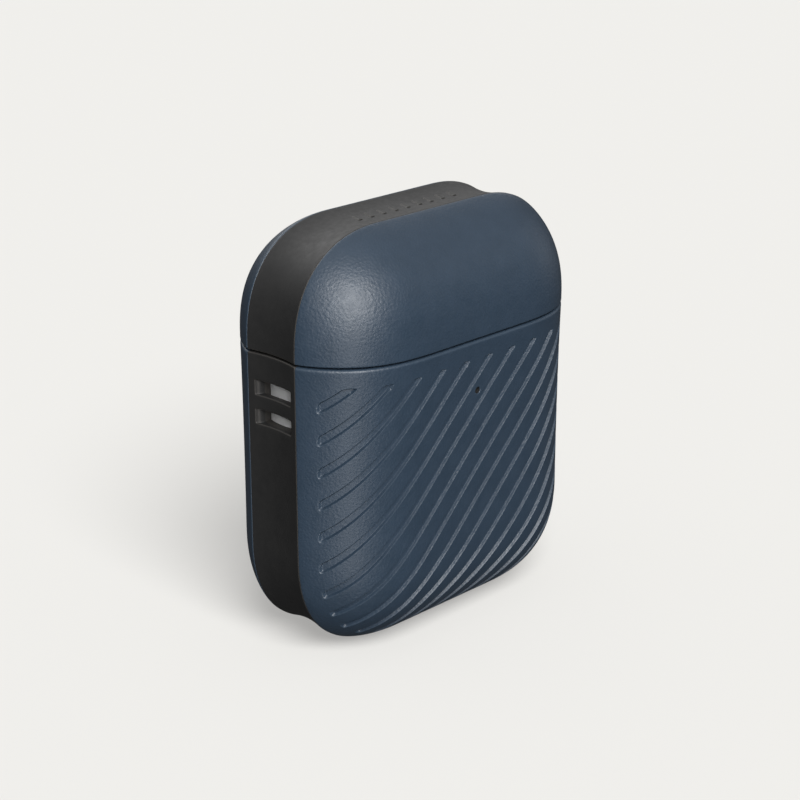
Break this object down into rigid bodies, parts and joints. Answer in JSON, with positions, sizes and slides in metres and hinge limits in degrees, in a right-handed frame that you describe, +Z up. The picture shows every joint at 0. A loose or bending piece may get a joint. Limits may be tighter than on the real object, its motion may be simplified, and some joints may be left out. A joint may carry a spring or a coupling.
{
  "type": "wireless earbuds case",
  "caption": "Hinged charging case for wireless earbuds in a rugged two-piece cover, with grooved panels, strap slots, open wells and a setup button.",
  "frame": {"origin": "middle of the foot's flat face, on the surface that the case stands on", "axes": "+Z up, -Y towards the grooved front panel with the status light, +Y towards the hinge, +X to the right seen from the front"},
  "size_m": [0.0486, 0.0273, 0.0575],
  "materials": {
    "cover_black": "smooth matte elastomer",
    "cover_blue": "fine grained, satin",
    "case_white": "polished",
    "liner_white": "fine matte",
    "steel": "brushed",
    "magnet": "plated",
    "contact_gold": "plated",
    "battery_foil": "matte foil",
    "board_green": "solder mask",
    "copper": "wound copper",
    "ferrite": "matte",
    "light": "clear",
    "chip_black": "moulded",
    "adhesive": "matte"
  },
  "bodies": {
    "base": {"cover_base_frame": "cover_black", "cover_front_panel": "cover_blue", "cover_back_panel": "cover_blue", "case_base_shell": "case_white", "earbud_tray": "liner_white", "well_magnets": "magnet", "charge_contacts": "contact_gold", "battery": "battery_foil", "main_board": "board_green", "board_screws": "steel", "charging_port": "steel", "charging_coil": "copper", "coil_shield": "ferrite", "status_led": "light", "status_light_guide": "light", "button_switch": "chip_black", "lid_sensor": "chip_black", "latch_magnet_base": "magnet", "hinge_bracket": "steel", "hinge_pin": "steel"},
    "lid": {"cover_lid_frame": "cover_black", "cover_lid_front_panel": "cover_blue", "cover_lid_back_panel": "cover_blue", "lid_adhesive_pad": "adhesive", "case_lid_shell": "case_white", "lid_liner": "liner_white", "latch_magnet_lid": "magnet", "lid_sensor_magnet": "magnet", "hinge_arm": "steel"},
    "button": {"setup_button": "case_white"}
  },
  "joints": [
    {"name": "lid_hinge", "type": "hinge", "parent": "base", "child": "lid", "pos_m": [0, 0.011, 0.04175], "axis": [-1, 0, 0], "range_deg": [0, 95]},
    {"name": "button_press", "type": "slide", "parent": "base", "child": "button", "axis": [0, -1, 0], "range_m": [0, 0.0004], "stiffness_N_per_m": 300}
  ]
}
